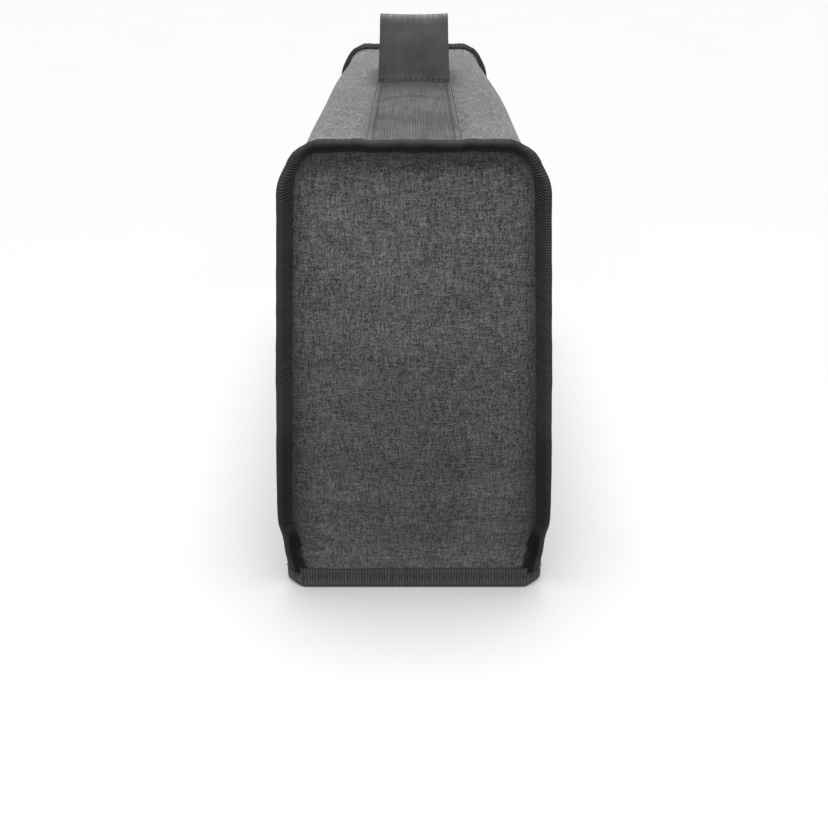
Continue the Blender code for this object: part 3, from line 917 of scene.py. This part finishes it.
def ribbed_tape(name, colour, valley, sheen, pitch, low=None):
    """Ribbed tape: round ribs with painted shade in the valleys between them, and the fine threads across
    them.

    A binding's ribs are pulled smooth along the top and from low onwards along its length. Its
    fold has painted light; along the top the fold and the leg on the panel's side have painted
    shade, the leg most; the tape is a little darker where its low ends begin and lighter with
    painted light further down; and the leg on the panel's side has painted shadow, nearly black,
    in the creases at the low ends. The hem's tape has painted shadow along its top edge, is a
    little darker below that and lighter towards its bottom fold.
    """
    g = Graph(name)
    u, v, _ = g.parts(g.uv)
    phase = g.math('DIVIDE', u, pitch)
    ridge = g.math('ABSOLUTE', g.math('SINE', g.math('MULTIPLY', phase, math.pi)))
    each = g.random(g.vector(g.math('FLOOR', phase), 0.0))
    fine = g.noise(g.vector(g.math('MULTIPLY', u, 2200.0), g.math('MULTIPLY', v, 5200.0)), 1.0)
    slow = g.noise(g.uv, 60.0, 2.0)
    bumps = ridge
    if low:
        fold = g.ramp(g.math('ABSOLUTE', v), 0.0026, 0.0012)
        along = g.math('ABSOLUTE', u)
        ribbed = g.math('MULTIPLY', g.ramp(along, *RIBS_START), g.ramp(along, low + 0.025, low))
        ribbed = g.math('MULTIPLY', ribbed, g.math('MULTIPLY_ADD', fold, -0.7, 1.0))
        # Ribs with painted shade in their valleys.
        tone = g.math('MULTIPLY_ADD', g.math('POWER', ridge, 3.5), 2.3, valley)
        tone = g.blend(ribbed, 0.80, tone)
        # A little darker where the low ends begin; painted light further down at the low ends and on the
        # fold.
        tone = g.shade(tone, g.ramp(along, low, low + 0.030), -0.30)
        tone = g.shade(tone, g.ramp(along, low + 0.060, low + 0.070), 1.2)
        tone = g.shade(tone, fold, 0.35)
        # Painted shade along the top on the fold and the leg on the panel's side, most on that leg.
        smooth = g.ramp(along, RIBS_START[1], RIBS_START[0])
        tone = g.shade(tone, g.math('MULTIPLY', smooth, g.ramp(v, -0.0030, -0.0010)), -0.44)
        tone = g.shade(tone, g.math('MULTIPLY', smooth, g.ramp(v, 0.0010, 0.0030)), -0.45)
        # Painted shadow, nearly black, on the panel's side leg in the creases at the low ends.
        crease_shadow = g.ramp(along, low + 0.066, low + 0.076)
        tone = g.shade(tone, g.math('MULTIPLY', crease_shadow, g.ramp(v, 0.0030, 0.0048)), -0.88)
        bumps = g.math('MULTIPLY', ridge, ribbed)
    else:
        # Ribs with painted shade in their valleys; on the hem's tape, painted shadow along its top edge, a
        # little darker below that and lighter towards its bottom fold.
        tone = g.blend(ridge, valley, 1.0)
        tone = g.shade(tone, g.ramp(v, 0.0014, 0.0004), -0.60)
        tone = g.shade(tone, g.ramp(v, 0.0070, 0.0040), -0.12)
        tone = g.shade(tone, g.ramp(v, 0.0070, 0.0100), 0.32)
    tone = g.math('MULTIPLY', tone, g.math('MULTIPLY_ADD', each, 0.20, 0.90))
    tone = g.math('MULTIPLY', tone, g.math('MULTIPLY_ADD', fine, 0.7, 0.65))
    tone = g.math('MULTIPLY', tone, g.math('MULTIPLY_ADD', slow, 0.5, 0.75))
    g.feed(g.shader.inputs["Base Color"], g.tint(tone, colour))
    g.bump(g.math('ADD', bumps, g.math('MULTIPLY', fine, 0.3)), 0.00010, 0.6)
    return g.finish(0.7, sheen, 0.4)


def loop_lengths():
    """Lengths along the webbing at which the loop leaves the band and meets it again."""
    rows, _ = webbing_line()
    s = running_length(rows[:, :2])
    raised = s[rows[:, 1] > 0.0015]
    return raised[0], raised[-1]


def ribbed_webbing(name, colour):
    """Webbing with lengthwise ribs crossed by fine picks, and painted shade in the valleys between the
    ribs.

    The loop's legs are the plainest and have painted light. They have painted shade where they
    start to turn over and a painted highlight at the top; the band has painted shade towards the
    loop's front foot and in a soft crease across it, and painted light and shade in slow waves
    along its front part.
    """
    g = Graph(name)
    u, v, _ = g.parts(g.uv)
    ribs = round(BAND_WIDTH / WEBBING_RIB)
    phase = g.math('MULTIPLY', g.math('ADD', g.math('DIVIDE', u, BAND_WIDTH), 0.5), float(ribs))
    ridge = g.math('ABSOLUTE', g.math('SINE', g.math('MULTIPLY', phase, math.pi)))
    pick = g.math('DIVIDE', v, 0.0006)
    lean = g.math('MULTIPLY', g.math('FLOORED_MODULO', g.math('FLOOR', phase), 2.0), 0.5)
    knot = g.math('SINE', g.math('MULTIPLY', g.math('FRACT', g.math('ADD', pick, lean)), math.pi))
    lane = g.vector(g.math('MULTIPLY', g.math('FLOOR', phase), 5.3), g.math('MULTIPLY', v, 40.0))
    each = g.noise(lane, 1.0)
    slow = g.noise(g.uv, 70.0, 3.0, 0.6)
    foot, foot_end = loop_lengths()
    climb = g.math('MINIMUM', g.math('SUBTRACT', v, foot), g.math('SUBTRACT', foot_end, v))
    raised = g.ramp(climb, -0.0015, 0.0010)
    curled = g.ramp(climb, 0.030, 0.038)
    leg = g.math('SUBTRACT', raised, curled)
    # Ribs with painted shade in their valleys, less on the loop's legs.
    tone = g.blend(ridge, g.blend(leg, 0.45, 0.94), 1.0)
    tone = g.math('MULTIPLY', tone, g.math('MULTIPLY_ADD', knot, 0.25, 0.80))
    streak = g.math('MULTIPLY_ADD', curled, 0.7, g.blend(leg, 0.7, 0.1))
    tone = g.math('MULTIPLY', tone, g.math('MULTIPLY_ADD', g.math('SUBTRACT', each, 0.5), streak, 1.0))
    tone = g.math('MULTIPLY', tone, g.math('MULTIPLY_ADD', g.math('SUBTRACT', slow, 0.5), 0.8, 1.0))
    flat = g.math('SUBTRACT', 1.0, raised)
    beside = g.math('SUBTRACT', g.math('ABSOLUTE', u), SEWN_SHARE * BAND_WIDTH / 2 - 0.0020)
    sewn = g.math('MULTIPLY', g.ramp(g.math('ABSOLUTE', beside), 0.0009, 0.0002), flat)
    tone = g.shade(tone, sewn, -0.40)
    # Painted light on the loop's legs; painted shade where they start to turn over; a painted highlight at
    # the top.
    tone = g.shade(tone, leg, 0.43)
    turn_shade = g.math('MULTIPLY', g.ramp(climb, 0.023, 0.031), g.ramp(climb, 0.0370, 0.0318))
    tone = g.shade(tone, turn_shade, -0.56)
    tone = g.shade(tone, g.ramp(climb, 0.0350, 0.0392), 0.95)
    # Painted shade in a soft crease across the band.
    bend = g.math('MULTIPLY_ADD', g.math('MULTIPLY', u, u), -ARCH_SAG / BAND_WIDTH ** 2,
                  ARCH_AT + LENGTH / 2 - BAND_END)
    bend = g.ramp(g.math('ABSOLUTE', g.math('SUBTRACT', v, bend)), 0.0065, 0.0010)
    tone = g.shade(tone, g.math('MULTIPLY', bend, g.ramp(g.math('ABSOLUTE', u), 0.018, 0.013)), -0.30)
    # Painted shade on the band towards the loop's front foot.
    tone = g.shade(tone, g.math('MULTIPLY', g.ramp(v, foot - 0.060, foot - 0.012), flat), -0.45)
    tone = g.shade(tone, g.math('MULTIPLY', g.ramp(v, 0.135, foot), flat), -0.30)
    # Painted light and shade in slow waves along the band's front part.
    wave_light_and_shade = g.math('COSINE', g.math('MULTIPLY_ADD', v, 77.6, -1.4))
    tone = g.shade(tone, g.math('MULTIPLY', wave_light_and_shade, g.ramp(v, 0.120, 0.100)), 0.13)
    g.feed(g.shader.inputs["Base Color"], g.tint(tone, colour))
    g.bump(g.math('ADD', ridge, g.math('MULTIPLY', knot, 0.5)), 0.00010, 0.6)
    return g.finish(0.75, 0.06, 0.4)


def sewing_thread(name, colour):
    """Twisted thread."""
    g = Graph(name)
    u, v, _ = g.parts(g.uv)
    twist = g.math('SINE', g.math('ADD', g.math('MULTIPLY', u, 9000.0), g.math('MULTIPLY', v, 4000.0)))
    g.feed(g.shader.inputs["Base Color"], g.tint(g.math('MULTIPLY_ADD', twist, 0.25, 0.8), colour))
    g.bump(twist, 0.00005, 0.5)
    return g.finish(0.6, 0.2, 0.4)


def pale_floor():
    """A wide pale floor with a faint grain."""
    bpy.ops.mesh.primitive_plane_add(size=12.0, location=(0, 0, -0.0004))
    floor = bpy.context.object
    floor.name = "floor"
    g = Graph("floor_paint")
    place = g.node("ShaderNodeNewGeometry").outputs["Position"]
    grain = g.noise(place, 4.0, 2.0)
    tone = g.math('MULTIPLY_ADD', grain, 0.02, 0.99)
    g.feed(g.shader.inputs["Base Color"], g.tint(tone, FLOOR_GREY))
    floor.data.materials.append(g.finish(0.9, 0.0))


def soft_light(name, tilt, spread, strength):
    """An even light from far above; tilt leans it towards the front, all in degrees."""
    data = bpy.data.lights.new(name, 'SUN')
    data.angle = math.radians(spread)
    data.energy = strength
    light = bpy.data.objects.new(name, data)
    light.rotation_euler = (math.radians(tilt), 0.0, 0.0)
    bpy.context.scene.collection.objects.link(light)


def front_light():
    """A broad soft light in front of the cover and a little above it."""
    data = bpy.data.lights.new("fill", 'AREA')
    data.shape = 'RECTANGLE'
    data.size = 0.60
    data.size_y = 0.30
    data.energy = 2.5
    light = bpy.data.objects.new("fill", data)
    light.location = (0.0, -0.75, 0.50)
    light.rotation_euler = (math.radians(58), 0.0, 0.0)
    light.visible_camera = False
    bpy.context.scene.collection.objects.link(light)


def studio():
    """World, lights and the camera at the viewing angle of the photograph."""
    world = bpy.data.worlds.new("studio")
    world.use_nodes = True
    back = world.node_tree.nodes["Background"]
    back.inputs["Color"].default_value = (1.0, 1.0, 1.0, 1.0)
    back.inputs["Strength"].default_value = 0.10
    bpy.context.scene.world = world
    soft_light("key", 0.0, 50.0, 9.9)
    front_light()
    bpy.context.scene.view_settings.view_transform = 'Standard'
    data = bpy.data.cameras.new("camera")
    data.sensor_width = 36.0
    data.lens = CAMERA_LENS
    data.clip_start = 0.02
    data.clip_end = 60.0
    camera = bpy.data.objects.new("camera", data)
    camera.location = CAMERA_AT
    camera.rotation_euler = (math.pi / 2 - CAMERA_DIP, 0.0, 0.0)
    bpy.context.scene.collection.objects.link(camera)
    bpy.context.scene.camera = camera


def dress(piece, node):
    """Ride on the cover and stand for a solid, whose mesh is hidden."""
    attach(piece, "root")
    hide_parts(node)


def main():
    studio()
    pale_floor()
    panel_front = heather_cloth("front_cloth", CLOTH_GREY, 0.10, panel=True)
    panel_rear = heather_cloth("rear_cloth", CLOTH_GREY, 0.10, panel=True)
    fin_front = ribbed_tape("front_tape", TAPE_BLACK, 0.12, 0.02, TAPE_RIB, low=FRONT_LOW)
    fin_rear = ribbed_tape("rear_tape", TAPE_BLACK, 0.12, 0.02, TAPE_RIB, low=REAR_LOW)
    wrap = build_wrap(heather_cloth("wrap_cloth", CLOTH_GREY, 0.12))
    front = build_panel("cloth_front", -LENGTH / 2, panel_front)
    rear = build_panel("cloth_rear", LENGTH / 2, panel_rear)
    front_tape = build_binding("tape_front", -LENGTH / 2, fin_front)
    rear_tape = build_binding("tape_rear", LENGTH / 2, fin_rear)
    hem = build_hem(ribbed_tape("hem_tape", HEM_CHARCOAL, 0.30, 0.05, HEM_RIB))
    strip = build_webbing(ribbed_webbing("webbing", WEBBING_GREY))
    dress(wrap, "wrap")
    dress(front, "front_panel")
    dress(rear, "rear_panel")
    dress(front_tape, "front_binding")
    dress(rear_tape, "rear_binding")
    dress(hem, "hem_binding")
    dress(strip, "handle_webbing")
    thread = sewing_thread("dark_thread", DARK_THREAD)
    pale = sewing_thread("grey_thread", GREY_THREAD)
    rows = (
        (hem_thread(thread), "hem_tape"),
        (webbing_thread(pale), "webbing"),
        (binding_thread("thread_front", -LENGTH / 2, thread), "front_tape"),
        (binding_thread("thread_rear", LENGTH / 2, thread), "rear_tape"),
    )
    for piece, slot in rows:
        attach(piece, "root")


main()
